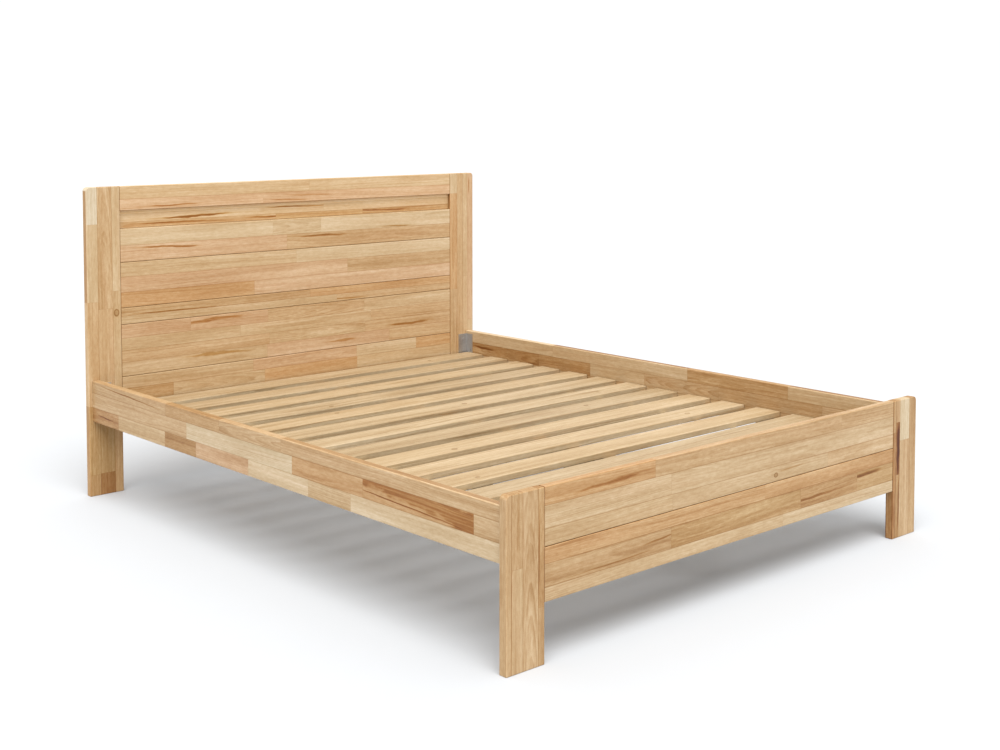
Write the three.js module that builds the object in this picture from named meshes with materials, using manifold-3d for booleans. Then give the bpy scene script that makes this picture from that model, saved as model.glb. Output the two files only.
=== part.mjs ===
// Double bed frame in solid beech, made for a 1600 x 2000 mm mattress.
//
// +X runs across the bed, +Y from the foot end to the headboard, +Z up.
// The origin is on the floor under the middle of the bed. Lengths are in millimetres.
// "left" is -X, seen from the foot end.

import * as THREE from "three";
import { mergeVertices } from "three/addons/utils/BufferGeometryUtils.js";
import Module from "manifold-3d";

// ---------------------------------------------------------------- driving dimensions

const BED = { width: 1675, length: 2065 };
const HEAD_HEIGHT = 1025;
const FOOT_HEIGHT = 416;

const POST = { width: 120, thick: 25, outerRadius: 12, innerRadius: 4, footEase: 2 };
const RAIL = { thick: 25, bottom: 250, top: 386, inset: 12, ease: 3 };

// Boards between the posts: each one spans bottom..top and has eased long edges.
const PANEL = { thick: 22, ease: 3 };
const HEAD_SEAMS = [210, 385, 561, 617, 770, 883];
const RECESS = { bottom: 883, top: 943, depth: 11, ease: 1 };
const FOOT_SEAMS = [145, 275, 416];

const SLAT = { count: 14, width: 95, thick: 18, pitch: 146, ease: 2.5, endGap: 2.5 };
const LEDGE = { width: 30, height: 28, top: 282, ease: 2, endGap: 10 };
const STRAP = { x: 560, width: 26, thick: 1.2 };

const BEAM = { width: 50, height: 60, ease: 3, endGap: 3.5 };
const POCKET = { sheet: 3, sideGap: 0.5, reach: 43, plateWidth: 100, plateBottom: 214, plateTop: 296 };
const LEG = { width: 50, bottom: 24, ease: 3, boreDepth: 50 };
const FOOT = { padRadius: 22, padHeight: 6, bossWidth: 19, bossTop: 11, stemRadius: 5, stemTop: 54 };

const BRACKET = { sheet: 3, flange: 40, bottom: 290, top: 374 };
const SCREW = { headRadius: 5.5, headHeight: 3, shankRadius: 2.75, length: 21, point: 3 };
const SCREW_FROM_CORNER = 24;
const SCREW_FROM_BRACKET_END = 18;

const CLEARANCE = 0.3;

// ---------------------------------------------------------------- derived positions

const halfWidth = BED.width / 2;
const halfLength = BED.length / 2;
const panelHalf = halfWidth - POST.width;
const railHalf = halfLength - POST.thick;
const railOuter = halfWidth - RAIL.inset;
const railInner = railOuter - RAIL.thick;
const panelInset = (POST.thick - PANEL.thick) / 2;
const panelInner = railHalf + panelInset;
const panelOuter = halfLength - panelInset;
const beamBottom = LEDGE.top - BEAM.height;
const slatTop = LEDGE.top + SLAT.thick;

const SIDES = [["left", -1], ["right", 1]];
const ENDS = [["foot", -1], ["head", 1]];

// ---------------------------------------------------------------- materials

function material(name, color, roughness, metalness) {
  return new THREE.MeshStandardMaterial({ name, color, roughness, metalness });
}

const BEECH = material("oiled_beech", 0xd8b083, 0.5, 0);
const SPRUCE = material("planed_spruce", 0xe6cf9f, 0.65, 0);
const ZINC = material("zinc_plated_steel", 0xb9bcc0, 0.35, 0.9);
const WEBBING = material("cotton_webbing", 0xe9e3d3, 0.9, 0);
const PLASTIC = material("black_plastic", 0x26272a, 0.55, 0);

// ---------------------------------------------------------------- geometry helpers

const X = new THREE.Vector3(1, 0, 0);
const Y = new THREE.Vector3(0, 1, 0);
const Z = new THREE.Vector3(0, 0, 1);

function basis(u, v, w) {
  return new THREE.Matrix4().makeBasis(u, v, w);
}

// Points [u, v] of an outline, pulled along one axis from one place to another.
// Along x the outline is (y, z), along y it is (x, z), and along z it is (x, y).
function prism(points, axis, from, to) {
  const outline = new THREE.Shape(points.map(([u, v]) => new THREE.Vector2(u, v)));
  const geometry = new THREE.ExtrudeGeometry(outline, { depth: to - from, bevelEnabled: false });
  if (axis === "x") {
    geometry.applyMatrix4(basis(Y, Z, X)).translate(from, 0, 0);
  } else if (axis === "y") {
    geometry.applyMatrix4(basis(X, Z, Y.clone().negate())).translate(0, to, 0);
  } else {
    geometry.translate(0, 0, from);
  }
  return geometry;
}

function box(x0, x1, y0, y1, z0, z1) {
  return prism([[x0, y0], [x1, y0], [x1, y1], [x0, y1]], "z", z0, z1);
}

// A rectangle with its four corners cut off at 45 degrees.
function easedRectangle(u0, u1, v0, v1, ease) {
  return [
    [u0 + ease, v0], [u1 - ease, v0], [u1, v0 + ease], [u1, v1 - ease],
    [u1 - ease, v1], [u0 + ease, v1], [u0, v1 - ease], [u0, v0 + ease],
  ];
}

function arc(centreU, centreV, radius, startAngle, endAngle, steps) {
  return Array.from({ length: steps + 1 }, (_, i) => {
    const angle = startAngle + ((endAngle - startAngle) * i) / steps;
    return [centreU + radius * Math.cos(angle), centreV + radius * Math.sin(angle)];
  });
}

const wasm = await Module();
wasm.setup();

function toSolid(geometry) {
  const bare = geometry.clone();
  bare.deleteAttribute("normal");
  bare.deleteAttribute("uv");
  const merged = mergeVertices(bare, 1e-4);
  return new wasm.Manifold(new wasm.Mesh({
    numProp: 3,
    vertProperties: new Float32Array(merged.attributes.position.array),
    triVerts: new Uint32Array(merged.index.array),
  }));
}

function toGeometry(solid) {
  const mesh = solid.getMesh();
  const geometry = new THREE.BufferGeometry();
  geometry.setAttribute("position", new THREE.BufferAttribute(mesh.vertProperties, 3));
  geometry.setIndex(new THREE.BufferAttribute(mesh.triVerts, 1));
  geometry.computeVertexNormals();
  return geometry;
}

function cut(geometry, tools) {
  return toGeometry(tools.reduce((solid, tool) => solid.subtract(toSolid(tool)), toSolid(geometry)));
}

function join(...geometries) {
  const [first, ...rest] = geometries.map(toSolid);
  return toGeometry(rest.reduce((solid, other) => solid.add(other), first));
}

// ---------------------------------------------------------------- assembly

const bed = new THREE.Group();
bed.name = "bed_frame";

function add(name, geometry, surface) {
  const mesh = new THREE.Mesh(geometry, surface);
  mesh.name = name;
  bed.add(mesh);
}

// ---------------------------------------------------------------- screws and brackets

// A countersunk screw on the Z axis, its flat head level with z = 0 and its point below.
// grow makes the same shape larger all round, for the hole that takes the screw.
function screwShape(grow) {
  const { headRadius, headHeight, shankRadius, length, point } = SCREW;
  const profile = [
    [0, -length - grow],
    [shankRadius + grow, -length + point - grow],
    [shankRadius + grow, -headHeight],
    [headRadius + grow, 0],
  ];
  if (grow > 0) {
    profile.push([headRadius + grow, grow]);
  }
  profile.push([0, grow]);
  return new THREE.LatheGeometry(profile.map(([r, z]) => new THREE.Vector2(r, z)), 12).rotateX(Math.PI / 2);
}

// The four screws of the bracket in one corner: where each head is, and which way it points.
function cornerScrews(sideSign, endSign) {
  const cornerX = sideSign * (railInner + BRACKET.sheet);
  const cornerY = endSign * railHalf;
  const flanges = {
    rail: {
      turn: new THREE.Matrix4().makeRotationY((-sideSign * Math.PI) / 2),
      x: sideSign * railInner,
      y: cornerY - endSign * SCREW_FROM_CORNER,
    },
    post: {
      turn: new THREE.Matrix4().makeRotationX((endSign * Math.PI) / 2),
      x: cornerX - sideSign * SCREW_FROM_CORNER,
      y: cornerY - endSign * BRACKET.sheet,
    },
  };
  const heights = {
    lower: BRACKET.bottom + SCREW_FROM_BRACKET_END,
    upper: BRACKET.top - SCREW_FROM_BRACKET_END,
  };
  return Object.entries(flanges).flatMap(([flange, { turn, x, y }]) =>
    Object.entries(heights).map(([height, z]) => ({
      name: `${flange}_${height}`,
      flange,
      shape: (grow) => screwShape(grow).applyMatrix4(turn).translate(x, y, z),
    })));
}

function screwHoles(screws, flange) {
  return screws.filter((screw) => screw.flange === flange).map((screw) => screw.shape(CLEARANCE));
}

function cornerBracket(sideSign, endSign, screws) {
  const { sheet, flange, bottom, top } = BRACKET;
  const cornerX = railInner + sheet;
  const outline = [
    [cornerX, railHalf],
    [cornerX - sheet - flange, railHalf],
    [cornerX - sheet - flange, railHalf - sheet],
    [cornerX - sheet, railHalf - sheet],
    [cornerX - sheet, railHalf - flange],
    [cornerX, railHalf - flange],
  ].map(([x, y]) => [sideSign * x, endSign * y]);
  return cut(prism(outline, "z", bottom, top), screws.map((screw) => screw.shape(CLEARANCE)));
}

const screwsAt = {};
for (const [end, endSign] of ENDS) {
  for (const [side, sideSign] of SIDES) {
    const screws = cornerScrews(sideSign, endSign);
    screwsAt[`${end}_${side}`] = screws;
    add(`corner_bracket_${end}_${side}`, cornerBracket(sideSign, endSign, screws), ZINC);
    for (const screw of screws) {
      add(`screw_${end}_${side}_${screw.name}`, screw.shape(0), ZINC);
    }
  }
}

// ---------------------------------------------------------------- posts

// The broad face of a post: straight sides, both upper corners rounded, lower corners eased.
function postOutline(sideSign, height) {
  const { outerRadius, innerRadius, footEase } = POST;
  return [
    [panelHalf + footEase, 0],
    [halfWidth - footEase, 0],
    [halfWidth, footEase],
    ...arc(halfWidth - outerRadius, height - outerRadius, outerRadius, 0, Math.PI / 2, 6),
    ...arc(panelHalf + innerRadius, height - innerRadius, innerRadius, Math.PI / 2, Math.PI, 3),
    [panelHalf, footEase],
  ].map(([x, z]) => [sideSign * x, z]);
}

for (const [end, endSign] of ENDS) {
  const height = end === "head" ? HEAD_HEIGHT : FOOT_HEIGHT;
  const faces = [endSign * railHalf, endSign * halfLength].sort((a, b) => a - b);
  for (const [side, sideSign] of SIDES) {
    const blank = prism(postOutline(sideSign, height), "y", ...faces);
    add(`${end}_post_${side}`, cut(blank, screwHoles(screwsAt[`${end}_${side}`], "post")), BEECH);
  }
}

// ---------------------------------------------------------------- headboard and footboard

function panelBoard(endSign, bottom, top, ease) {
  const [y0, y1] = [endSign * panelInner, endSign * panelOuter].sort((a, b) => a - b);
  return prism(easedRectangle(y0, y1, bottom, top, ease), "x", -panelHalf, panelHalf);
}

// The boards below the recess are numbered from the top down.
const headBoards = HEAD_SEAMS.slice(1).map((top, i) => [HEAD_SEAMS[i], top]).reverse();
headBoards.forEach(([bottom, top], i) => {
  add(`headboard_board_${i + 1}`, panelBoard(1, bottom, top, PANEL.ease), BEECH);
});

// The recessed strip lies back from the front faces of its neighbours and ends flush behind.
const stripFront = panelInner + RECESS.depth;
const stripOutline = easedRectangle(stripFront, panelOuter, RECESS.bottom, RECESS.top, RECESS.ease);
add("headboard_recessed_strip", prism(stripOutline, "x", -panelHalf, panelHalf), BEECH);
add("headboard_top_rail", panelBoard(1, RECESS.top, HEAD_HEIGHT, PANEL.ease), BEECH);

const [footBottom, footSeam, footTop] = FOOT_SEAMS;
add("footboard_lower_board", panelBoard(-1, footBottom, footSeam, PANEL.ease), BEECH);
add("footboard_upper_board", panelBoard(-1, footSeam, footTop, PANEL.ease), BEECH);

// ---------------------------------------------------------------- side rails and ledges

// The shallow pocket in the rail's inner face that takes one flange of a corner bracket.
function bracketPocket(sideSign, endSign) {
  const deep = railInner + BRACKET.sheet + CLEARANCE;
  const [x0, x1] = [sideSign * (railInner - 1), sideSign * deep].sort((a, b) => a - b);
  const inner = railHalf - BRACKET.flange - CLEARANCE;
  const [y0, y1] = [endSign * inner, endSign * (railHalf + 1)].sort((a, b) => a - b);
  return box(x0, x1, y0, y1, BRACKET.bottom - CLEARANCE, BRACKET.top + CLEARANCE);
}

for (const [side, sideSign] of SIDES) {
  const [railX0, railX1] = [sideSign * railInner, sideSign * railOuter].sort((a, b) => a - b);
  const railOutline = easedRectangle(railX0, railX1, RAIL.bottom, RAIL.top, RAIL.ease);
  const blank = prism(railOutline, "y", -railHalf, railHalf);
  const pockets = ENDS.map(([, endSign]) => bracketPocket(sideSign, endSign));
  const holes = ENDS.flatMap(([end]) => screwHoles(screwsAt[`${end}_${side}`], "rail"));
  add(`side_rail_${side}`, cut(blank, [...pockets, ...holes]), BEECH);

  const ledgeEdges = [sideSign * (railInner - LEDGE.width), sideSign * railInner];
  const [ledgeX0, ledgeX1] = ledgeEdges.sort((a, b) => a - b);
  const ledgeOutline = easedRectangle(ledgeX0, ledgeX1, LEDGE.top - LEDGE.height, LEDGE.top, LEDGE.ease);
  const ledgeHalf = railHalf - LEDGE.endGap;
  add(`slat_ledge_${side}`, prism(ledgeOutline, "y", -ledgeHalf, ledgeHalf), BEECH);
}

// ---------------------------------------------------------------- slat base

const slatHalf = railInner - SLAT.endGap;
const firstSlat = (-SLAT.pitch * (SLAT.count - 1)) / 2;
for (let i = 0; i < SLAT.count; i += 1) {
  const y = firstSlat + i * SLAT.pitch;
  const outline = easedRectangle(y - SLAT.width / 2, y + SLAT.width / 2, LEDGE.top, slatTop, SLAT.ease);
  add(`slat_${String(i + 1).padStart(2, "0")}`, prism(outline, "x", -slatHalf, slatHalf), SPRUCE);
}

// The straps are stapled to the undersides of the slats.
const strapHalf = -firstSlat + SLAT.width / 2;
for (const [side, sideSign] of SIDES) {
  const x0 = sideSign * STRAP.x - STRAP.width / 2;
  const strap = box(x0, x0 + STRAP.width, -strapHalf, strapHalf, LEDGE.top - STRAP.thick, LEDGE.top);
  add(`slat_strap_${side}`, strap, WEBBING);
}

// ---------------------------------------------------------------- centre beam and its pockets

const beamHalf = railHalf - BEAM.endGap;
const beamOutline = easedRectangle(-BEAM.width / 2, BEAM.width / 2, beamBottom, LEDGE.top, BEAM.ease);
add("centre_beam", prism(beamOutline, "y", -beamHalf, beamHalf), SPRUCE);

// A plate on the inner face of the panel, with an open-topped trough that carries the beam's end.
function beamPocket(endSign) {
  const { sheet, sideGap, reach, plateWidth, plateBottom, plateTop } = POCKET;
  const inner = BEAM.width / 2 + sideGap;
  const outer = inner + sheet;
  const trough = [
    [-outer, LEDGE.top], [-outer, beamBottom - sheet], [outer, beamBottom - sheet], [outer, LEDGE.top],
    [inner, LEDGE.top], [inner, beamBottom], [-inner, beamBottom], [-inner, LEDGE.top],
  ];
  const [y0, y1] = [endSign * panelInner, endSign * (panelInner - reach)].sort((a, b) => a - b);
  const [p0, p1] = [endSign * panelInner, endSign * (panelInner - sheet)].sort((a, b) => a - b);
  const plate = box(-plateWidth / 2, plateWidth / 2, p0, p1, plateBottom, plateTop);
  return join(prism(trough, "y", y0, y1), plate);
}

for (const [end, endSign] of ENDS) {
  add(`beam_pocket_${end}`, beamPocket(endSign), ZINC);
}

// ---------------------------------------------------------------- centre leg and levelling foot

const legEdge = LEG.width / 2;
const legBlank = prism(easedRectangle(-legEdge, legEdge, -legEdge, legEdge, LEG.ease), "z", LEG.bottom, beamBottom);
const bore = new THREE.CylinderGeometry(
  FOOT.stemRadius + CLEARANCE, FOOT.stemRadius + CLEARANCE, LEG.boreDepth + 1, 20,
).rotateX(Math.PI / 2).translate(0, 0, LEG.bottom + (LEG.boreDepth - 1) / 2);
add("centre_leg", cut(legBlank, [bore]), SPRUCE);

// The pad is a low disc with a hexagonal boss for a spanner, and the threaded stem stands on it.
const padProfile = [
  [0, 0],
  [FOOT.padRadius - 1.5, 0],
  [FOOT.padRadius, 1.5],
  [FOOT.padRadius, FOOT.padHeight - 2],
  [FOOT.padRadius - 2, FOOT.padHeight],
  [0, FOOT.padHeight],
].map(([r, z]) => new THREE.Vector2(r, z));
const padDisc = new THREE.LatheGeometry(padProfile, 32).rotateX(Math.PI / 2);
const bossCircumradius = FOOT.bossWidth / Math.sqrt(3);
const bossHeight = FOOT.bossTop - FOOT.padHeight + 1;
const boss = new THREE.CylinderGeometry(bossCircumradius, bossCircumradius, bossHeight, 6)
  .rotateX(Math.PI / 2)
  .translate(0, 0, FOOT.bossTop - bossHeight / 2);
add("centre_foot_pad", join(padDisc, boss), PLASTIC);

const stemLength = FOOT.stemTop - FOOT.bossTop;
const stem = new THREE.CylinderGeometry(FOOT.stemRadius, FOOT.stemRadius, stemLength, 20)
  .rotateX(Math.PI / 2)
  .translate(0, 0, FOOT.bossTop + stemLength / 2);
add("centre_foot_stem", stem, ZINC);

export default bed;
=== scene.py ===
import math
import random

import bmesh
import bpy
from mathutils import Matrix, Vector


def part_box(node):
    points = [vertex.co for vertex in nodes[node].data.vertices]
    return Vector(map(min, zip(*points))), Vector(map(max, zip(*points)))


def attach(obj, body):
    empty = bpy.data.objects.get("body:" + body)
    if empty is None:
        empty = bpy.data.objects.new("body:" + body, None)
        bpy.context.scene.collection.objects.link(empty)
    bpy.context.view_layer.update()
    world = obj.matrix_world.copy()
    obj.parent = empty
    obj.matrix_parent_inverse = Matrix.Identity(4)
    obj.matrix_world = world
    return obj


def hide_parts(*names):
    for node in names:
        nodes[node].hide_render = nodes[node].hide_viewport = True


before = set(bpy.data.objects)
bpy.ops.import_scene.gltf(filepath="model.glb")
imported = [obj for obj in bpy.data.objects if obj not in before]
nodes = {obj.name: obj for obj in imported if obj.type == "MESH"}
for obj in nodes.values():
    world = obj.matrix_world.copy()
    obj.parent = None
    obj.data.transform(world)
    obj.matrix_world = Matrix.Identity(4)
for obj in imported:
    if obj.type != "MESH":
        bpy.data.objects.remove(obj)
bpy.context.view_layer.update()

MM = 0.001
X, Y, Z = 0, 1, 2


def linear(red, green, blue):
    """An sRGB colour from 0 to 255 as linear light."""
    parts = [c / 255 for c in (red, green, blue)]
    return tuple(c / 12.92 if c <= 0.04045 else ((c + 0.055) / 1.055) ** 2.4 for c in parts)


# ---------------------------------------------------------------- camera and light

camera_data = bpy.data.cameras.new("camera")
camera_data.lens = 51.46
camera_data.sensor_width = 36
camera_data.shift_y = -0.18
camera = bpy.data.objects.new("camera", camera_data)
camera.location = (-2.9592, -3.3589, 1.2766)
camera.rotation_euler = (math.radians(90 - 3.384), 0, math.radians(-42.104))
bpy.context.scene.collection.objects.link(camera)
bpy.context.scene.camera = camera
bpy.context.scene.view_settings.view_transform = "Standard"

world = bpy.data.worlds.new("studio")
world.use_nodes = True
world.node_tree.nodes["Background"].inputs["Color"].default_value = (1, 1, 1, 1)
world.node_tree.nodes["Background"].inputs["Strength"].default_value = 1.02
bpy.context.scene.world = world

# One very broad light, high up and a little to the camera's left, as from a large softbox.
softbox_data = bpy.data.lights.new("softbox", "SUN")
softbox_data.energy = 3.8
softbox_data.angle = math.radians(50)
softbox = bpy.data.objects.new("softbox", softbox_data)
softbox.rotation_euler = Vector((0.35, 0.45, -1.0)).to_track_quat("-Z", "Y").to_euler()
bpy.context.scene.collection.objects.link(softbox)


# ---------------------------------------------------------------- shader building

class Shader:
    """Builds one material. A value is a number, a colour, a vector or another node's output."""

    def __init__(self, name):
        self.material = bpy.data.materials.new(name)
        self.material.use_nodes = True
        self.tree = self.material.node_tree
        self.tree.nodes.clear()

    def node(self, kind, values=None, **settings):
        made = self.tree.nodes.new("ShaderNode" + kind)
        for key, value in settings.items():
            setattr(made, key, value)
        for socket, value in (values or {}).items():
            if isinstance(value, bpy.types.NodeSocket):
                self.tree.links.new(value, made.inputs[socket])
            elif made.inputs[socket].type == "RGBA":
                made.inputs[socket].default_value = (*value[:3], 1)
            else:
                made.inputs[socket].default_value = value
        return made

    def math(self, operation, a, b=0.0, c=0.0):
        return self.node("Math", {0: a, 1: b, 2: c}, operation=operation).outputs[0]

    def total(self, *values):
        result = values[0]
        for value in values[1:]:
            result = self.math("ADD", result, value)
        return result

    def times(self, *values):
        result = values[0]
        for value in values[1:]:
            result = self.math("MULTIPLY", result, value)
        return result

    def ramp(self, value, low, high, to_low=0.0, to_high=1.0):
        """to_low below low, to_high above high, and a smooth step between them."""
        values = {"Value": value, "From Min": low, "From Max": high, "To Min": to_low, "To Max": to_high}
        return self.node("MapRange", values, interpolation_type="SMOOTHSTEP").outputs[0]

    def vector(self, operation, a, b=(0, 0, 0)):
        made = self.node("VectorMath", {0: a, 1: b}, operation=operation)
        return made.outputs["Value" if operation == "LENGTH" else "Vector"]

    def split(self, vector):
        return self.node("SeparateXYZ", {0: vector}).outputs[:3]

    def join(self, x, y, z):
        return self.node("CombineXYZ", {0: x, 1: y, 2: z}).outputs[0]

    def attribute(self, name):
        return self.node("Attribute", attribute_name=name).outputs["Vector"]

    def noise(self, vector, stretch, detail=2.0, roughness=0.5):
        """Smooth noise from about 0.25 to 0.75, stretched by so many cells to the metre."""
        scaled = self.vector("MULTIPLY", vector, stretch)
        values = {"Vector": scaled, "Scale": 1.0, "Detail": detail, "Roughness": roughness}
        return self.node("TexNoise", values)

    def level(self, vector, stretch, detail=2.0, roughness=0.5):
        """The same noise as a single level around 0, mostly within -0.5 to 0.5."""
        fac = self.noise(vector, stretch, detail, roughness).outputs["Fac"]
        return self.math("MULTIPLY_ADD", fac, 2.0, -1.0)

    def mix(self, factor, a, b, blend="MIX"):
        values = {0: factor, 6: a, 7: b}
        return self.node("Mix", values, data_type="RGBA", blend_type=blend).outputs[2]

    def bump(self, height, distance, strength=1.0):
        values = {"Height": height, "Distance": distance, "Strength": strength}
        return self.node("Bump", values).outputs[0]

    def finish(self, values):
        """The principled shader with these inputs, linked to the material's output."""
        principled = self.node("BsdfPrincipled", values)
        self.node("OutputMaterial", {"Surface": principled.outputs[0]})
        return self.material


# ---------------------------------------------------------------- wood

# A wooden piece carries what its shader needs on its face corners, stave by stave:
#   grain     metres along the stave, across it and through it, from the pith of the tree
#   tint      the stave's own colour
#   seam      metres to the glue lines below, above and before the stave
#   mark      metres to the glue line after it, 1 on end grain, and how much heartwood it has
#   streak_a  a dark streak's own coordinates, within 1 of the middle, and its strength
#   streak_b  the same for a second streak
#   knot      a knot's own coordinates, within 1 of the middle, and 1 if there is one
#   surface   1 at the bottom of the groove against the next board, where shade is painted, and how plainly the year rings show
WOOD_LAYERS = ("grain", "tint", "seam", "mark", "streak_a", "streak_b", "knot", "surface")


def streak_mask(s, name, wander_x, wander_y, flame):
    """A dark core with a paler halo, drawn out along the grain and broken up by it."""
    x, y, strength = s.split(s.attribute(name))
    x = s.total(x, wander_x)
    y = s.total(y, wander_y)
    reach = s.math("SQRT", s.total(s.times(x, x), s.times(y, y)))
    halo = s.times(s.ramp(reach, 1.15, 0.5), 0.4)
    core = s.times(s.ramp(reach, 0.8, 0.5), flame)
    return s.times(s.total(halo, core), strength)


def wood(name, ring, ring_depth, ray_depth, figure_depth, rose_depth, roughness):
    """Planed, oiled wood. ring is a year's growth in metres. The depths say how dark each mark is."""
    s = Shader(name)
    grain = s.attribute("grain")
    along, across, through = s.split(grain)
    below, above, before = s.split(s.attribute("seam"))
    after, end_grain, heart = s.split(s.attribute("mark"))
    knot_x, knot_y, knotty = s.split(s.attribute("knot"))
    groove_shade, ringed, _ = s.split(s.attribute("surface"))

    # The fibres swerve round a knot.
    knot_reach = s.math("SQRT", s.total(s.times(knot_x, knot_x), s.times(knot_y, knot_y)))
    swerve = s.times(s.ramp(knot_reach, 4.0, 0.4), knotty)
    push = s.math("DIVIDE", knot_y, s.total(s.math("ABSOLUTE", knot_y), 0.5))
    across = s.math("SUBTRACT", across, s.times(push, swerve, 0.005))

    # The grain wanders slowly from side to side, and a little roughly as well.
    slow = s.noise(grain, (1.5, 11, 11), 2.0).outputs["Color"]
    fine = s.noise(grain, (16, 150, 150), 2.0).outputs["Color"]
    slow_u, slow_v, _ = s.split(slow)
    fine_u, fine_v, _ = s.split(fine)
    u = s.total(across, s.times(s.total(slow_u, -0.5), 0.024), s.times(s.total(fine_u, -0.5), 0.002))
    v = s.total(through, s.times(s.total(slow_v, -0.5), 0.024), s.times(s.total(fine_v, -0.5), 0.002))
    bent = s.join(along, u, v)

    # Year rings of uneven width, each with a thin dark line of late wood.
    radius = s.math("SQRT", s.total(s.times(u, u), s.times(v, v)))
    years = s.math("DIVIDE", radius, ring)
    uneven = s.node("TexNoise", {"W": s.times(years, 0.45), "Scale": 1.0}, noise_dimensions="1D")
    years = s.total(years, s.times(uneven.outputs["Fac"], 2.4))
    season = s.math("FRACT", years)
    late = s.times(s.ramp(season, 0.25, 0.93), s.ramp(season, 1.0, 0.95))
    ring_here = s.ramp(s.level(grain, (2.5, 40, 40)), -0.3, 0.35, 0.2, 1.0)
    late = s.times(late, ring_here, ringed)

    # Soft bands, thin lines, clouds, mottle, single fibres and the short dark rays of the wood.
    bands = s.level(bent, (0.9, 62, 62), 3.0, 0.6)
    lines = s.level(bent, (2.8, 300, 300), 3.0, 0.6)
    clouds = s.level(grain, (3.0, 15, 15), 2.0)
    mottle = s.level(bent, (45, 170, 170), 3.0, 0.65)
    fibres = s.level(bent, (14, 1200, 1200), 2.0)
    cells = s.node(
        "TexVoronoi",
        {"Vector": s.vector("MULTIPLY", bent, (210, 900, 900)), "Scale": 1.0, "Randomness": 1.0},
    )
    chosen = s.ramp(s.split(cells.outputs["Color"])[0], 0.4, 0.7)
    rays = s.times(s.ramp(cells.outputs["Distance"], 0.45, 0.14), chosen)

    # Heartwood: stray streaks by noise, and the placed ones.
    stray = s.ramp(s.level(bent, (0.7, 75, 75), 3.0, 0.55), 0.18, 0.5)
    stray_lines = s.ramp(lines, -0.25, 0.3, 0.35, 1.0)
    stray = s.times(stray, stray_lines, heart)
    wander_x = s.times(s.level(grain, (7, 45, 45)), 0.5)
    wander_y = s.total(
        s.times(s.level(grain, (4.5, 14, 14), 3.0, 0.6), 2.0),
        s.times(s.level(grain, (28, 60, 60), 2.0), 0.4),
    )
    flame = s.ramp(s.level(bent, (2.5, 210, 210), 3.0), -0.25, 0.1, 0.25, 1.0)
    placed = s.total(
        streak_mask(s, "streak_a", wander_x, wander_y, flame),
        streak_mask(s, "streak_b", wander_x, wander_y, flame),
    )

    knot_rings = s.math("FRACT", s.times(knot_reach, 3.2))
    knot_core = s.times(s.ramp(knot_reach, 1.08, 0.86), knotty)
    knot_rim = s.times(s.ramp(knot_reach, 1.45, 1.0), s.ramp(knot_reach, 0.7, 1.0), knotty)

    # The long glue lines show more than the joints across the grain.
    nearest_row, nearest_end = s.math("MINIMUM", below, above), s.math("MINIMUM", before, after)
    edge = s.math("MINIMUM", nearest_row, s.total(nearest_end, 0.0006))
    glue = s.ramp(edge, 0.0014, 0.0003)

    # A colour raised to a power above 1 turns darker and warmer, as wood does where it is dense. At the
    # bottom of a groove between boards the same darkening is painted shade.
    power = s.total(
        1.0,
        s.times(bands, figure_depth),
        s.times(lines, figure_depth, 0.8),
        s.times(mottle, figure_depth, 1.0),
        s.times(clouds, figure_depth, 0.9),
        s.times(late, ring_depth),
        s.times(fibres, 0.06),
        s.times(rays, ray_depth),
        s.times(stray, 0.8),
        s.times(placed, 0.62),
        s.times(glue, 0.38),
        s.times(end_grain, 0.16),
        s.times(groove_shade, 0.85),
        s.times(knot_core, s.total(0.18, s.times(knot_rings, 0.35))),
        s.times(knot_rim, 0.75),
    )
    colour = s.node("Gamma", {"Color": s.attribute("tint"), "Gamma": power}).outputs[0]
    blush = s.ramp(s.level(bent, (1.6, 30, 30)), -0.1, 0.5, 0.0, rose_depth)
    colour = s.mix(blush, colour, (1.0, 0.91, 0.88), "MULTIPLY")
    # The streaks, the heartwood and the painted groove shade are reddened as well.
    reddened = s.math("MINIMUM", s.total(placed, groove_shade, s.times(stray, 0.7)), 1.0)
    colour = s.mix(reddened, colour, (1.0, 0.88, 0.58), "MULTIPLY")

    rough = s.total(
        roughness,
        s.times(fibres, 0.05),
        s.times(lines, 0.05),
        s.times(rays, 0.06),
        s.times(end_grain, 0.2),
    )
    height = s.total(
        s.times(fibres, 0.5),
        s.times(late, 0.5),
        s.times(rays, -0.8),
        s.times(glue, -1.0),
    )
    return s.finish({
        "Base Color": colour,
        "Roughness": rough,
        "IOR": 1.38,
        "Normal": s.bump(height, 0.00012, 0.7),
    })


beech = wood("oiled_beech", ring=0.0052, ring_depth=0.20, ray_depth=0.15, figure_depth=0.28,
             rose_depth=0.35, roughness=0.5)
spruce = wood("planed_spruce", ring=0.0062, ring_depth=0.42, ray_depth=0.02, figure_depth=0.22,
              rose_depth=0.2, roughness=0.6)

# ---------------------------------------------------------------- steel, webbing, plastic, floor


def zinc_steel():
    s = Shader("zinc_plated_steel")
    place = s.node("TexCoord").outputs["Object"]
    grains = s.node("TexVoronoi", {"Vector": place, "Scale": 420.0}).outputs["Color"]
    grain = s.split(grains)[0]
    smear = s.level(place, (60, 60, 160), 3.0)
    scratches = s.level(place, (900, 900, 30), 2.0)
    shade = s.total(0.56, s.times(grain, 0.06), s.times(smear, 0.06))
    return s.finish({
        "Base Color": s.join(shade, s.times(shade, 1.01), s.times(shade, 1.03)),
        "Metallic": 1.0,
        "Roughness": s.total(0.33, s.times(grain, 0.1), s.times(smear, 0.12), s.times(scratches, 0.05)),
        "Normal": s.bump(scratches, 0.00002, 0.6),
    })


WARP_SPACING = 0.0011
WEFT_SPACING = 0.0016


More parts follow.
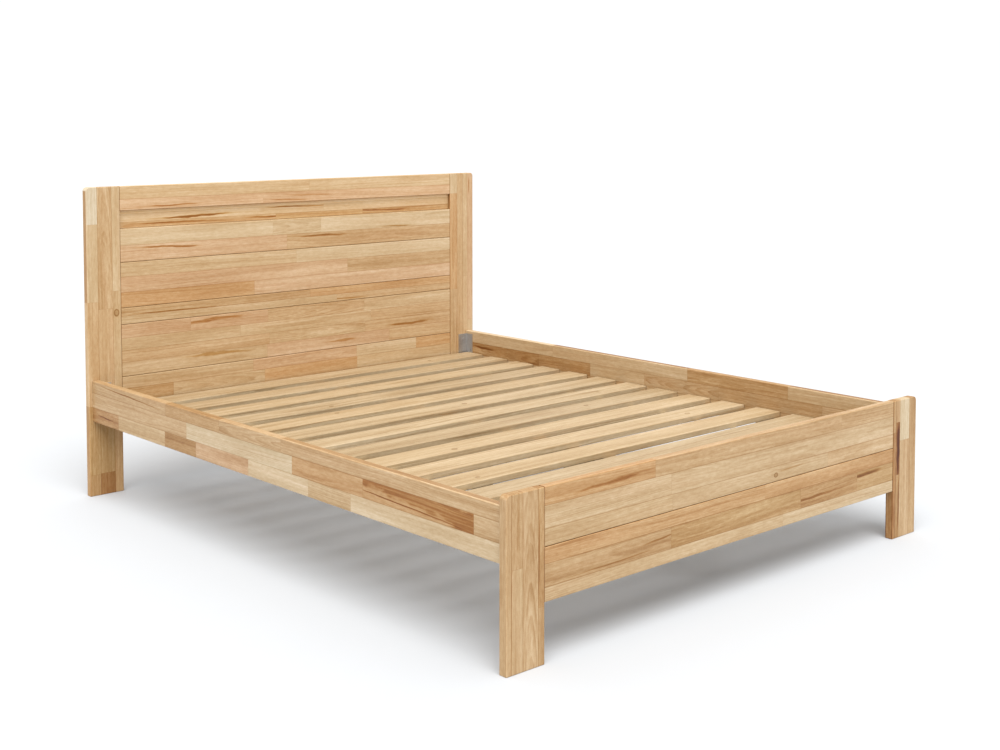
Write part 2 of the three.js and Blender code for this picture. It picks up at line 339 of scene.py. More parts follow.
def cotton_webbing():
    """A plain weave of cotton threads. The weave layer holds metres across and along the strap."""
    s = Shader("cotton_webbing")
    across, along, _ = s.split(s.attribute("weave"))
    warp = s.math("ABSOLUTE", s.math("SINE", s.times(across, math.pi / WARP_SPACING)))
    row = s.times(along, 1 / WEFT_SPACING)
    column = s.math("FLOOR", s.times(across, 1 / WARP_SPACING))
    over = s.math("ABSOLUTE", s.math("SINE", s.times(s.total(row, s.times(column, 0.5)), math.pi)))
    # The threads are painted darker in the gaps between them and where one dips under another: painted shade
    # of the weave.
    thread = s.times(s.ramp(warp, 0.0, 0.8), s.total(0.35, s.times(over, 0.65)))
    fuzz = s.level(s.attribute("weave"), (2600, 2600, 1), 2.0)
    colour = s.mix(s.total(thread, s.times(fuzz, 0.3)), linear(176, 168, 148), linear(232, 226, 208))
    return s.finish({
        "Base Color": colour,
        "Roughness": s.total(0.86, s.times(fuzz, 0.08)),
        "Sheen Weight": 0.25,
        "Sheen Roughness": 0.5,
        "Normal": s.bump(s.total(thread, s.times(fuzz, 0.12)), 0.0003, 0.8),
    })


def black_plastic():
    s = Shader("black_plastic")
    place = s.node("TexCoord").outputs["Object"]
    texture = s.level(place, (2400, 2400, 2400), 2.0)
    wear = s.level(place, (120, 120, 240), 3.0)
    shade = s.total(0.022, s.times(wear, 0.006), s.times(texture, 0.003))
    return s.finish({
        "Base Color": s.join(shade, shade, s.times(shade, 1.08)),
        "Roughness": s.total(0.5, s.times(wear, 0.1), s.times(texture, 0.05)),
        "Normal": s.bump(texture, 0.00004, 0.5),
    })


def studio_floor():
    s = Shader("studio_floor")
    place = s.node("TexCoord").outputs["Object"]
    shade = s.total(0.505, s.times(s.level(place, (3, 3, 3), 2.0), 0.004))
    return s.finish({
        "Base Color": s.join(shade, s.times(shade, 1.025), s.times(shade, 1.055)),
        "Roughness": 0.8,
        "Specular IOR Level": 0.2,
    })


steel = zinc_steel()
webbing = cotton_webbing()
plastic = black_plastic()

# ---------------------------------------------------------------- mesh building


SHARP_TURN = math.radians(40)


def as_object(name, bm, material):
    """A new object from a bmesh, smooth but for the edges that turn sharply."""
    bmesh.ops.recalc_face_normals(bm, faces=bm.faces)
    for face in bm.faces:
        face.smooth = True
    for edge in bm.edges:
        edge.smooth = len(edge.link_faces) == 2 and edge.calc_face_angle(0) < SHARP_TURN
    mesh = bpy.data.meshes.new(name)
    bm.to_mesh(mesh)
    bm.free()
    mesh.materials.append(material)
    made = bpy.data.objects.new(name, mesh)
    bpy.context.scene.collection.objects.link(made)
    normals = made.modifiers.new("normals", "WEIGHTED_NORMAL")
    normals.keep_sharp = True
    return made


def settle(made, body, slot_name, *replaced):
    """Puts an object on its body, in place of the CAD nodes it stands for. The slot name is not used."""
    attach(made, body)
    if replaced:
        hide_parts(*replaced)
    return made


def add_shape(bm, shape):
    """Adds a copy of another shape, and frees that shape."""
    mesh = bpy.data.meshes.new("temporary")
    shape.to_mesh(mesh)
    shape.free()
    bm.from_mesh(mesh)
    bpy.data.meshes.remove(mesh)


def loft(bm, loops):
    """Skins a row of closed loops that have as many points each, and caps both ends."""
    rings = [[bm.verts.new(point) for point in loop] for loop in loops]
    count = len(rings[0])
    for ring, following in zip(rings, rings[1:]):
        for i in range(count):
            j = (i + 1) % count
            bm.faces.new((ring[i], ring[j], following[j], following[i]))
    bm.faces.new(reversed(rings[0]))
    bm.faces.new(rings[-1])


def rounded_outline(low, high, radii, inset, steps):
    """A rectangle with a radius at each corner, anticlockwise from the lowest one, drawn in by inset."""
    points = []
    corners = ((low[0], low[1]), (high[0], low[1]), (high[0], high[1]), (low[0], high[1]))
    for i, ((u, v), radius) in enumerate(zip(corners, radii)):
        rest = max(radius - inset, 0.00015)
        centre_u = u + (inset + rest) * (1 if i in (0, 3) else -1)
        centre_v = v + (inset + rest) * (1 if i in (0, 1) else -1)
        for k in range(steps + 1):
            angle = math.pi + (i + k / steps) * math.pi / 2
            points.append((centre_u + rest * math.cos(angle), centre_v + rest * math.sin(angle)))
    return points


def rounded_block(low, high, axis, radii, edge, steps=4):
    """A block pulled along axis, with its outline's corners rounded by radii and both ends eased by edge."""
    u, v = [a for a in (X, Y, Z) if a != axis]
    turns = [(edge * (1 - math.cos(a)), edge * (1 - math.sin(a)))
             for a in (math.pi / 2 * i / steps for i in range(steps + 1))]
    stations = [(low[axis] + s, inset) for s, inset in turns]
    stations += [(high[axis] - s, inset) for s, inset in reversed(turns)]
    loops = []
    for station, inset in stations:
        outline = rounded_outline((low[u], low[v]), (high[u], high[v]), radii, inset, steps)
        loop = []
        for a, b in outline:
            point = [0.0, 0.0, 0.0]
            point[u], point[v], point[axis] = a, b, station
            loop.append(point)
        loops.append(loop)
    bm = bmesh.new()
    loft(bm, loops)
    return bm


def lathed(bm, profile, centre, steps=32):
    """Turns a profile of (radius, height) points about a vertical line. An end's radius may be 0."""
    rings = []
    for radius, height in profile:
        if radius < 1e-7:
            rings.append([bm.verts.new((centre[0], centre[1], centre[2] + height))])
            continue
        ring = []
        for i in range(steps):
            angle = 2 * math.pi * i / steps
            ring.append(bm.verts.new((
                centre[0] + radius * math.cos(angle),
                centre[1] + radius * math.sin(angle),
                centre[2] + height,
            )))
        rings.append(ring)
    for lower, upper in zip(rings, rings[1:]):
        for i in range(steps):
            j = (i + 1) % steps
            corners = [lower[i % len(lower)], lower[j % len(lower)],
                       upper[j % len(upper)], upper[i % len(upper)]]
            bm.faces.new(list(dict.fromkeys(corners)))
    return rings


def carve(bm, cutters):
    """Takes other closed shapes out of a shape."""
    if not cutters:
        return bm

    def temporary(shape):
        bmesh.ops.recalc_face_normals(shape, faces=shape.faces)
        mesh = bpy.data.meshes.new("temporary")
        shape.to_mesh(mesh)
        shape.free()
        made = bpy.data.objects.new("temporary", mesh)
        bpy.context.scene.collection.objects.link(made)
        return made

    blank = temporary(bm)
    tools = [temporary(cutter) for cutter in cutters]
    for tool in tools:
        cut = blank.modifiers.new("cut", "BOOLEAN")
        cut.operation, cut.solver, cut.object = "DIFFERENCE", "EXACT", tool
    depsgraph = bpy.context.evaluated_depsgraph_get()
    result = bmesh.new()
    result.from_mesh(blank.evaluated_get(depsgraph).to_mesh())
    for made in (blank, *tools):
        mesh = made.data
        bpy.data.objects.remove(made)
        bpy.data.meshes.remove(mesh)
    return result


# ---------------------------------------------------------------- staves

# The staves' colours as they look under the studio light, and the share of each that is the wood's own.
SHARE = (0.681, 0.688, 0.715)
TINTS = {
    "cream": linear(224, 205, 172),
    "ivory": linear(225, 202, 164),
    # The next tone is a painted fill light: it lifts the recessed strip's top row out of the top rail's
    # shadow.
    "honey": linear(238, 206, 158),
    "pale": linear(219, 191, 149),
    "light": linear(213, 181, 136),
    "plain": linear(209, 173, 126),
    "tan": linear(203, 166, 118),
    "rose": linear(213, 175, 132),
    "amber": linear(207, 164, 112),
    "biscuit": linear(197, 158, 105),
    "brown": linear(192, 150, 98),
    "nut": linear(180, 133, 81),
    "spruce": linear(204, 177, 136),
}
# What a stave that isn't listed in a layout may be, each name as often as that colour is likely.
COMMON = ("pale", "light", "light", "light", "plain", "plain", "plain",
          "rose", "tan", "tan", "amber", "brown")
# The head end was glued up from lighter wood. The recessed strip is lifted further still, as painted fill
# light against the shadow the top rail casts into it.
LIFT = {"headboard_recessed": 1.26, "headboard_top": 1.18, "headboard": 1.1, "head_post": 1.1}
# How much heartwood a stave may have. A stave that is listed in a layout has less than one placed by chance.
HEARTWOOD = (0.0, 0.05, 0.15, 0.4)
PLACED_HEARTWOOD = 0.3

# Each board is glued up from rows of staves. A row is its width and its staves, named by colour,
# each with the distance of its far end from the board's start, in millimetres. Rows go from the
# bottom up in a lying board, and from left to right in a post, where distances are from the floor.
# "arch" gives a stave the pointed figure of a board cut just beside the heart. "knot" gives it a
# knot, at this distance from the board's start and with this radius, both in millimetres.
LAYOUTS = {
    "side_rail_left": [
        (48, "pale 580, light 770, pale 1065, rose 1352, brown 1536, light 1835, nut 2015"),
        (49, "tan 100, amber 528, amber 846, ivory 1406, plain 2015"),
        (39, "plain 900, plain 1220 arch, brown 1530, tan 2015"),
    ],
    "footboard_upper_board": [
        (42, "light 445, light 1105 knot 867 5.5, plain 1435"),
        (54, "light 440, light 1435"),
        (45, "amber 380, tan 1170, plain 1435"),
    ],
    "footboard_lower_board": [
        (35, "light 900, pale 1435"),
        (55, "tan 440, biscuit 980, brown 1250, biscuit 1435"),
        (40, "amber 820, amber 1435"),
    ],
    "headboard_top_rail": [
        (38, "rose 560, rose 1435"),
        (44, "light 760, light 1435"),
    ],
    "headboard_recessed_strip": [
        (20, "tan 620, biscuit 1010, brown 1435"),
        (28, "light 830, light 1435"),
        # This row's tone is painted fill light against the top rail's shadow.
        (12, "honey 1435"),
    ],
    "headboard_board_1": [
        (56, "rose 660, plain 1435"),
        (57, "pale 600, pale 810 arch, pale 1435"),
    ],
    "headboard_board_2": [
        (51, "amber 520, rose 1435"),
        (52, "rose 930, tan 1435"),
        (50, "light 700, pale 1435"),
    ],
    "headboard_board_3": [
        (28, "light 880, plain 1435"),
        (28, "tan 760, amber 1435"),
    ],
    "head_post_left": [
        # The staves under the side rail are a little darker, partly their own tone and partly painted shade
        # from the rail.
        (38, "brown 70, biscuit 300, plain 645, pale 902, cream 1025"),
        (52, "nut 72, biscuit 250, plain 620, tan 1025 arch"),
        (30, "amber 260, light 677 knot 604 8, pale 1025"),
    ],
    "head_post_right": [
        (36, "tan 560, amber 945, pale 1025"),
        (29, "plain 1025"),
        (25, "plain 610, light 1025"),
        (30, "light 430, rose 1025"),
    ],
    "foot_post_left": [
        (16, "plain 416"),
        (35, "light 242, tan 416"),
        (48, "plain 416 arch"),
        (21, "tan 138, brown 416"),
    ],
    "foot_post_right": [
        (13, "nut 320, tan 416"),
        (20, "brown 192, nut 350, tan 416"),
        (50, "plain 293, ivory 416"),
        (37, "tan 416"),
    ],
}

# Dark streaks: where each starts, along the board and up its width, where it ends, how wide, how strong.
STREAKS = {
    "side_rail_left": [
        (-340, 52, 970, 126, 60, 0.68), (60, 51, 560, 69, 5, 1.3),
        (1850, 20, 2010, 30, 5, 0.9), (1560, 110, 2010, 131, 6, 0.8),
    ],
    "footboard_upper_board": [(60, 108, 380, 122, 11, 0.75), (870, 24, 1010, 28, 7, 0.3)],
    "footboard_lower_board": [
        (820, 55, 1240, 62, 9, 0.6), (1190, 74, 1420, 80, 16, 0.9),
        (300, 64, 480, 72, 7, 0.7), (60, 40, 420, 48, 5, 0.5),
    ],
    "headboard_top_rail": [
        (915, 32, 1220, 33, 12, 1.1), (60, 8, 330, 12, 7, 0.8),
        (590, 10, 760, 7, 6, 0.8), (640, 26, 900, 22, 7, 0.5),
    ],
    "headboard_recessed_strip": [
        (120, 27, 460, 33, 10, 2.0), (520, 44, 900, 42, 6, 1.6),
        (30, 12, 420, 8, 7, 1.2), (470, 15, 720, 9, 8, 1.3), (930, 14, 1270, 12, 7, 1.3),
    ],
    "headboard_board_1": [
        (50, 46, 330, 38, 9, 1.1), (640, 48, 960, 43, 10, 1.3), (1080, 62, 1250, 60, 6, 1.3),
    ],
    "headboard_board_3": [(0, 31, 420, 30, 5, 1.0), (700, 12, 1100, 8, 7, 0.6)],
    "head_post_right": [(930, 98, 1020, 99, 6, 0.8)],
    "foot_post_right": [(172, 25, 372, 22, 27, 1.3), (5, 27, 205, 30, 7, 1.0)],
    "foot_post_left": [(250, 34, 410, 35, 4, 0.5), (0, 15, 300, 15, 3, 0.5), (150, 102, 410, 103, 4, 0.9)],
}


class Stave:
    """One strip of wood in a board: its place, its colour and how it was sawn from the tree."""

    def __init__(self, rng, tint, start, end, low, high, figure=""):
        self.start, self.end, self.low, self.high = start, end, low, high
        shade = rng.uniform(-0.035, 0.035)
        self.tint = Vector(tuple(share * c ** (1 + shade) for share, c in zip(SHARE, tint)))
        self.offset = rng.uniform(0, 60)
        self.tilt = rng.uniform(-0.012, 0.012)
        self.lean = rng.uniform(-0.01, 0.01)
        self.heart = rng.choice(HEARTWOOD)
        side = rng.choice((-1, 1))
        sawn = rng.random()
        self.ringed = 1.0
        if figure == "arch":
            self.pith = (rng.uniform(-0.004, 0.004), side * 0.024)
            self.lean = side * -0.06
            self.ringed = 1.6
        elif sawn < 0.4:
            self.pith = (rng.uniform(-0.012, 0.012), side * rng.uniform(0.035, 0.08))
        else:
            self.pith = (side * rng.uniform(0.05, 0.11), rng.uniform(-0.06, 0.06))
        self.streaks = []
        self.knot = None


def staves_from_layout(name, rng, start, low):
    staves = []
    for width, row in LAYOUTS[name]:
        high = low + width * MM
        begun = start
        for words in (entry.split() for entry in row.split(",")):
            end = start + float(words[1]) * MM
            figure = words[2] if len(words) > 2 else ""
            stave = Stave(rng, TINTS[words[0]], begun, end, low, high, figure)
            stave.heart *= PLACED_HEARTWOOD
            if figure == "knot":
                stave.knot = (start + float(words[3]) * MM, low + 0.42 * width * MM, float(words[4]) * MM)
            staves.append(stave)
            begun = end
        low = high
    return staves


def staves_by_chance(rng, start, end, low, high):
    """Rows about 45 mm wide, of staves 250 to 700 mm long whose joints don't line up."""
    staves = []
    rows = max(1, round((high - low) / 0.045))
    cuts = [low + (high - low) * (i + (rng.uniform(-0.12, 0.12) if 0 < i < rows else 0)) / rows
            for i in range(rows + 1)]
    for row_low, row_high in zip(cuts, cuts[1:]):
        begun = start
        reach = begun + rng.uniform(0.15, 0.6)
        while begun < end - 1e-6:
            stop = end if reach > end - 0.14 else reach
            figure = "arch" if rng.random() < 0.12 else ""
            stave = Stave(rng, TINTS[rng.choice(COMMON)], begun, stop, row_low, row_high, figure)
            if rng.random() < 0.14 and stop - begun > 0.25:
                middle = rng.uniform(begun + 0.1, stop - 0.1)
                level = rng.uniform(row_low + 0.01, row_high - 0.01)
                stave.streaks.append((middle, level, rng.uniform(-0.03, 0.03), rng.uniform(0.06, 0.2),
                                      rng.uniform(0.003, 0.008), rng.uniform(0.5, 1.1)))
            staves.append(stave)
            begun = stop
            reach = begun + rng.uniform(0.25, 0.7)
    return staves


def place_streaks(name, staves, start, low):
    """Gives each named streak to the stave that its middle lies in."""
    for first, from_level, last, to_level, width, strength in STREAKS.get(name, ()):
        along = start + (first + last) / 2 * MM
        across = low + (from_level + to_level) / 2 * MM
        slope = (to_level - from_level) / (last - first)
        for stave in staves:
            if stave.start <= along < stave.end and stave.low <= across < stave.high:
                half = (last - first) / 2 * MM
                stave.streaks.insert(0, (along, across, slope, half, width / 2 * MM, strength))


def cut_between(bm, staves, along, across, outer):
    """Splits the faces where one row of staves meets the next, and where staves meet within a row."""
    start, end, low, high = outer

    def cut(faces, axis, place):
        geometry = {*faces, *(e for f in faces for e in f.edges), *(v for f in faces for v in f.verts)}
        point, normal = Vector(), Vector()
        point[axis], normal[axis] = place, 1
        bmesh.ops.bisect_plane(bm, geom=list(geometry), plane_co=point, plane_no=normal, dist=1e-6)

    for level in sorted({s.low for s in staves if s.low > low + 1e-6}):
        cut(bm.faces[:], across, level)
    for stave in staves:
        if stave.start > start + 1e-6:
            row = [f for f in bm.faces if stave.low < f.calc_center_median()[across] < stave.high]
            cut(row, along, stave.start)


# What a face corner carries for a streak or a knot that isn't there.
NONE_HERE = (9, 9, 0)
# How far from the next board a board's eased edge counts as the bottom of the groove, where the shader
# paints shade.
GROOVE_REACH = 0.0008


def lay_staves(bm, staves, along, across, outer, joins):
    """Cuts a board into its staves and gives its face corners what the wood shader needs."""
    through = 3 - along - across
    cut_between(bm, staves, along, across, outer)
    start, end, low, high = outer
    layers = {name: bm.loops.layers.float_vector.new(name) for name in WOOD_LAYERS}
    depths = [v.co[through] for v in bm.verts]
    depth = (min(depths) + max(depths)) / 2
    bm.normal_update()
    for face in bm.faces:
        centre = face.calc_center_median()

        def away(stave):
            over = max(stave.start - centre[along], centre[along] - stave.end, 0)
            beside = max(stave.low - centre[across], centre[across] - stave.high, 0)
            return over + beside

        stave = min(staves, key=away)
        middle = (stave.start + stave.end) / 2
        level = (stave.low + stave.high) / 2
        on_end = 1.0 if abs(face.normal[along]) > 0.7 else 0.0
        # A face that lies flat against the next board isn't part of the groove.
        open_joins = [(axis, place) for axis, place in joins if abs(face.normal[axis]) < 0.99]
        for loop in face.loops:
            point = loop.vert.co
            s, w, t = point[along], point[across], point[through]
            run = s - middle
            loop[layers["grain"]] = (
                s + stave.offset,
                w - level - stave.pith[0] + run * stave.tilt,
                t - depth - stave.pith[1] + run * stave.lean,
            )
            loop[layers["tint"]] = stave.tint
            loop[layers["seam"]] = (
                w - stave.low if stave.low > low + 1e-6 else 1,
                stave.high - w if stave.high < high - 1e-6 else 1,
                s - stave.start if stave.start > start + 1e-6 else 1,
            )
            loop[layers["mark"]] = (
                stave.end - s if stave.end < end - 1e-6 else 1,
                on_end,
                stave.heart,
            )
            for i, layer in enumerate(("streak_a", "streak_b")):
                if i < len(stave.streaks):
                    at, up, slope, half, half_width, strength = stave.streaks[i]
                    off = w - up - slope * (s - at)
                    loop[layers[layer]] = ((s - at) / half, off / half_width, strength)
                else:
                    loop[layers[layer]] = NONE_HERE
            # Face corners at the bottom of a groove are flagged for painted shade.
            near = min([abs(point[axis] - place) for axis, place in open_joins], default=1)
            loop[layers["surface"]] = (1 if near < GROOVE_REACH else 0, stave.ringed, 0)
            if stave.knot:
                at, up, size = stave.knot
                loop[layers["knot"]] = ((s - at) / size / 1.3, (w - up) / size, 1)
            else:
                loop[layers["knot"]] = NONE_HERE


# Boards that meet leave this much of a crack each.
SHUT = 0.0003


def meetings(node, along, across):
    """The ends and long edges of a board that lie against another board, as (axis, place)."""
    low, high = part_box(node)
    found = []
    for axis in (along, across):
        others = [a for a in (X, Y, Z) if a != axis]
        for place, side in ((low[axis], "high"), (high[axis], "low")):
            for other in BOARDS:
                other_low, other_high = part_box(other)
                facing = other_high[axis] if side == "high" else other_low[axis]
                overlaps = all(min(high[a], other_high[a]) - max(low[a], other_low[a]) > 0.005
                               for a in others)
                if other != node and abs(facing - place) < 1e-5 and overlaps:
                    found.append((axis, place))
                    break
    return found


BOARDS = [n for n in nodes if n.startswith(("headboard", "footboard", "side_rail"))]
BOARDS += [n for n in nodes if "_post_" in n and not n.startswith("screw")]


def board(node, along, across, ease=3.0, end_ease=0.8, radii=None, cutters=(), single=None, knots=0):
    """Replaces a CAD node with a board of staves. A board given radii is a post, shaped across its face."""
    rng = random.Random(node)
    low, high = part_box(node)
    through = 3 - along - across
    joins = meetings(node, along, across)
    for axis, place in joins:
        if place < (low[axis] + high[axis]) / 2:
            low[axis] += SHUT
        else:
            high[axis] -= SHUT
    if radii:
        bm = rounded_block(low, high, through, [r * MM for r in radii], ease * MM)
    else:
        bm = rounded_block(low, high, along, [ease * MM] * 4, end_ease * MM)
    bm = carve(bm, cutters)
    outer = (low[along], high[along], low[across], high[across])
    if single:
        tint = Vector(TINTS[single]) * rng.uniform(0.88, 1.08)
        staves = [Stave(rng, tint, *outer)]
        if knots and rng.random() < knots:
            at = rng.uniform(outer[0] + 0.1, outer[1] - 0.1)
            up = rng.uniform(outer[2] + 0.02, outer[3] - 0.02)
            staves[0].knot = (at, up, rng.uniform(0.003, 0.007))
    elif node in LAYOUTS:
        staves = staves_from_layout(node, rng, outer[0], outer[2])
    else:
        staves = staves_by_chance(rng, *outer)
    lift = next((lift for start, lift in LIFT.items() if node.startswith(start)), 1.0)
    for stave in staves:
        stave.tint *= lift
    place_streaks(node, staves, outer[0], outer[2])
    lay_staves(bm, staves, along, across, outer, joins)
    material = spruce if single == "spruce" else beech
    made = as_object(node + "_wood", bm, material)
    return settle(made, "frame", "slat_spruce" if single == "spruce" else "frame_beech", node)


# ---------------------------------------------------------------- the bed's boards

for end in ("head", "foot"):
    board(f"{end}_post_left", Z, X, ease=2.5, radii=(2.0, 2.0, 4.0, 12.0))
    board(f"{end}_post_right", Z, X, ease=2.5, radii=(2.0, 2.0, 12.0, 4.0))

for node in sorted(nodes):
    if node.startswith(("headboard_board", "headboard_top", "footboard")):
        board(node, X, Z, ease=2.5)
board("headboard_recessed_strip", X, Z, ease=0.8)


def bracket_pocket(side, end):
    """The shallow pocket that lets a corner bracket into the rail's inner face."""
    rail_low, rail_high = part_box(f"side_rail_{side}")
    low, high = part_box(f"corner_bracket_{end}_{side}")
    gap = 0.3 * MM
    inner = rail_low.x if side == "right" else rail_high.x
    deep = high.x + gap if side == "right" else low.x - gap
    open_side = inner - 0.002 if side == "right" else inner + 0.002
    flange = 40 * MM
    far = rail_high.y if end == "head" else rail_low.y
    near = far - flange - gap if end == "head" else far + flange + gap
    past = far + 0.002 if end == "head" else far - 0.002
    xs, ys = sorted((deep, open_side)), sorted((near, past))
    bm = bmesh.new()
    corners = [(xs[i], ys[j]) for i, j in ((0, 0), (1, 0), (1, 1), (0, 1))]
    loft(bm, [[(x, y, z) for x, y in corners] for z in (low.z - gap, high.z + gap)])
    return bm


for side in ("left", "right"):
    board(f"side_rail_{side}", Y, Z, cutters=[bracket_pocket(side, end) for end in ("foot", "head")])
    board(f"slat_ledge_{side}", Y, Z, ease=2.0, end_ease=1.0)

SLATS = [f"slat_{i:02d}" for i in range(1, 15)]
for slat in SLATS:
    board(slat, X, Y, ease=2.5, end_ease=1.2, single="spruce", knots=0.7)

board("centre_beam", Y, Z, ease=3.0, end_ease=1.5, single="spruce", knots=1.0)

# The leg stands on a drive-in nut, which sits in a counterbore under it.
leg_low, leg_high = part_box("centre_leg")
foot_axis = ((leg_low.x + leg_high.x) / 2, (leg_low.y + leg_high.y) / 2, leg_low.z)
COUNTERBORE = [(0, -0.002), (0.0115, -0.002), (0.0115, 0.0017), (0.0063, 0.0017), (0.0063, 0.05), (0, 0.05)]
DRIVE_IN_NUT = [(0.0053, 0.0), (0.0108, 0.0), (0.0111, 0.0003), (0.0111, 0.0015), (0.0061, 0.0015),
                (0.0061, 0.014), (0.0053, 0.014), (0.0053, 0.0)]
bore = bmesh.new()
lathed(bore, COUNTERBORE, foot_axis)
board("centre_leg", Z, X, ease=3.0, end_ease=1.2, single="spruce", cutters=[bore])

bm = bmesh.new()
lathed(bm, DRIVE_IN_NUT, (foot_axis[0], foot_axis[1], leg_low.z + 0.0001))
bmesh.ops.remove_doubles(bm, verts=bm.verts, dist=1e-6)
settle(as_object("centre_leg_nut", bm, steel), "frame", "zinc_steel")

# ---------------------------------------------------------------- screws

# Radius and height in millimetres, from the rim of the head's top down to the shank.
SHANK = 2.6
FLAT_HEAD = [(5.45, 0.0), (5.5, -0.15), (5.45, -0.35), (SHANK, -3.0)]
PAN_HEAD = [(3.3, 2.3), (4.1, 2.05), (4.7, 1.5), (5.0, 0.7), (5.05, 0.0), (SHANK, 0.0)]
# One arm of the cross recess, seen from above, how deep it goes and how far it narrows.
RECESS_ARM = ((0.6, 0.6), (2.5, 0.5), (2.5, -0.5))
RECESS_DEPTH = 1.9
RECESS_TAPER = 0.45


def screw(bm, point, out, head, length):
    """A cross-recess screw whose seat is at point, its head facing out."""
    own = bmesh.new()
    top = head[0][1]
    steps = 24
    rings = lathed(own, [(r * MM, z * MM) for r, z in head]
                   + [(SHANK * MM, (3 - length) * MM), (0, -length * MM)], (0, 0, 0), steps)
    cross = []
    for turn in range(4):
        spin = Matrix.Rotation(turn * math.pi / 2, 3, "Z")
        for x, y in RECESS_ARM:
            cross.append(spin @ Vector((x, -y, 0)))
    upper = [own.verts.new((p.x * MM, p.y * MM, top * MM)) for p in cross]
    lower = [own.verts.new((p.x * RECESS_TAPER * MM, p.y * RECESS_TAPER * MM, (top - RECESS_DEPTH) * MM))
             for p in cross]
    count = len(cross)
    for i in range(count):
        j = (i + 1) % count
        own.faces.new((upper[i], upper[j], lower[j], lower[i]))
    own.faces.new(lower)
    rim = [own.edges.get((rings[0][i], rings[0][(i + 1) % steps])) for i in range(steps)]
    hole = [own.edges.get((upper[i], upper[(i + 1) % count])) for i in range(count)]
    bmesh.ops.triangle_fill(own, edges=rim + hole, use_beauty=True)
    bmesh.ops.recalc_face_normals(own, faces=own.faces)
    turn = Vector(out).to_track_quat("Z", "Y").to_matrix().to_4x4()
    own.transform(Matrix.Translation(point) @ turn @ Matrix.Rotation(point[1] * 37, 4, "Z"))
    add_shape(bm, own)


for node in sorted(n for n in nodes if n.startswith("screw_")):
    low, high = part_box(node)
    middle = (low + high) / 2
    axis = X if "_rail_" in node else Y
    out = Vector()
    out[axis] = -1 if middle[axis] > 0 else 1
    point = middle.copy()
    point[axis] = low[axis] if middle[axis] > 0 else high[axis]
    bm = bmesh.new()
    screw(bm, point, out, FLAT_HEAD, 21)
    settle(as_object(node + "_cross", bm, steel), "frame", "zinc_steel", node)

# The ledges are screwed to the rails, and each beam pocket to its panel.
for side, sign in (("left", -1), ("right", 1)):
    low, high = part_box(f"slat_ledge_{side}")
    inner = low.x if side == "right" else high.x
    bm = bmesh.new()
    for i in range(7):
        y = low.y + 0.06 + (high.y - low.y - 0.12) * i / 6
        screw(bm, Vector((inner - sign * 0.0002, y, (low.z + high.z) / 2)), (-sign, 0, 0), FLAT_HEAD, 40)
    settle(as_object(f"slat_ledge_{side}_screws", bm, steel), "frame", "zinc_steel")

for end, sign in (("foot", -1), ("head", 1)):
    low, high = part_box(f"beam_pocket_{end}")
    plate = high.y - 0.003 if end == "head" else low.y + 0.003
    bm = bmesh.new()
    for x in (low.x + 0.011, high.x - 0.011):
        for z in (low.z + 0.014, high.z - 0.014):
            screw(bm, Vector((x, plate, z)), (0, -sign, 0), PAN_HEAD, 19)
    settle(as_object(f"beam_pocket_{end}_screws", bm, steel), "frame", "zinc_steel")

# ---------------------------------------------------------------- brackets, pockets and foot from CAD


def dress_cad(node, material, width):
    """Shows a CAD node itself, in this material and with its edges eased."""
    made = nodes[node]
    made.data.materials.clear()
    made.data.materials.append(material)
    ease = made.modifiers.new("ease", "BEVEL")
    ease.width, ease.segments = width, 2
    ease.limit_method, ease.angle_limit = "ANGLE", math.radians(50)
    normals = made.modifiers.new("normals", "WEIGHTED_NORMAL")
    normals.keep_sharp = True


for node in sorted(nodes):
    if node.startswith(("corner_bracket", "beam_pocket")):
        dress_cad(node, steel, 0.0005)
dress_cad("centre_foot_pad", plastic, 0.0004)

# ---------------------------------------------------------------- threaded stem

THREAD_CREST = 0.005
THREAD_ROOT = 0.0041
THREAD_PITCH = 0.0015


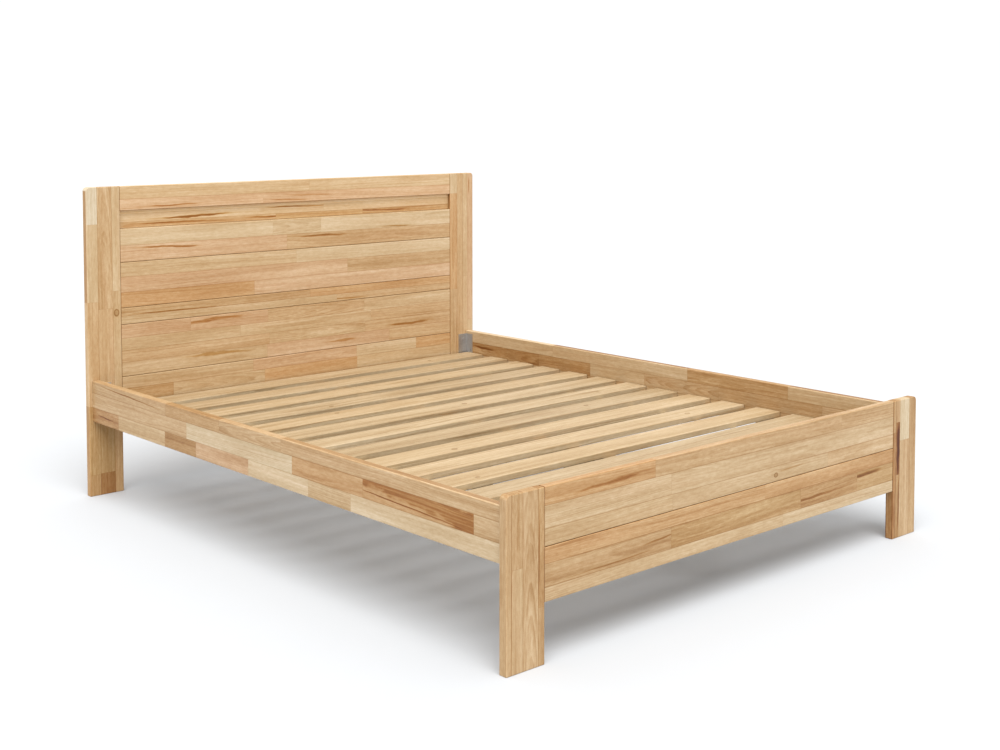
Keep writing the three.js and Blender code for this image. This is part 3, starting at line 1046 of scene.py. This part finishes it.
def threaded_rod(low, high, steps=24):
    """A screw thread wound from bottom to top, cut square at both ends."""
    bm = bmesh.new()
    pitch = THREAD_PITCH
    x, y = (low.x + high.x) / 2, (low.y + high.y) / 2
    turns = int((high.z - low.z) / pitch) + 4
    roots, crests = [], []
    for i in range(turns * steps + 1):
        angle = 2 * math.pi * i / steps
        height = low.z - 2 * pitch + pitch * i / steps
        for ring, radius, rise in ((roots, THREAD_ROOT, 0), (crests, THREAD_CREST, pitch / 2)):
            place = (x + radius * math.cos(angle), y + radius * math.sin(angle), height + rise)
            ring.append(bm.verts.new(place))
    for i in range((turns - 1) * steps):
        bm.faces.new((roots[i], roots[i + 1], crests[i + 1], crests[i]))
        bm.faces.new((crests[i], crests[i + 1], roots[i + 1 + steps], roots[i + steps]))
    for height, up in ((low.z, -1), (high.z, 1)):
        geometry = bm.verts[:] + bm.edges[:] + bm.faces[:]
        bmesh.ops.bisect_plane(bm, geom=geometry, plane_co=(0, 0, height), plane_no=(0, 0, up),
                               clear_outer=True)
    loose = [v for v in bm.verts if not v.link_faces]
    bmesh.ops.delete(bm, geom=loose, context="VERTS")
    rim = [e for e in bm.edges if len(e.link_faces) == 1]
    bmesh.ops.holes_fill(bm, edges=rim, sides=0)
    return bm


stem = as_object("centre_foot_stem_thread", threaded_rod(*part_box("centre_foot_stem")), steel)
settle(stem, "levelling_foot", "zinc_steel", "centre_foot_stem")

# ---------------------------------------------------------------- straps under the slats

for side in ("left", "right"):
    low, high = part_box(f"slat_strap_{side}")
    bm = rounded_block(low, high, Y, [0.0005] * 4, 0.0002, 3)
    weave = bm.loops.layers.float_vector.new("weave")
    for face in bm.faces:
        for loop in face.loops:
            co = loop.vert.co
            loop[weave] = (co.x - low.x + (co.z - low.z), co.y, 0)
    strap = as_object(f"slat_strap_{side}_webbing", bm, webbing)
    settle(strap, "frame", "strap_webbing", f"slat_strap_{side}")

    bm = bmesh.new()
    middle = (low.x + high.x) / 2
    for slat in SLATS:
        slat_low, slat_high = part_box(slat)
        for shift in (-0.022, 0.022):
            y = (slat_low.y + slat_high.y) / 2 + shift
            crown_low = Vector((middle - 0.0055, y - 0.0006, low.z - 0.00055))
            crown_high = Vector((middle + 0.0055, y + 0.0006, low.z + 0.0001))
            add_shape(bm, rounded_block(crown_low, crown_high, X, [0.0002] * 4, 0.0003, 2))
    staples = as_object(f"slat_strap_{side}_staples", bm, steel)
    settle(staples, "frame", "zinc_steel")

# ---------------------------------------------------------------- floor

bm = bmesh.new()
bmesh.ops.create_grid(bm, x_segments=8, y_segments=8, size=20)
floor = as_object("floor", bm, studio_floor())
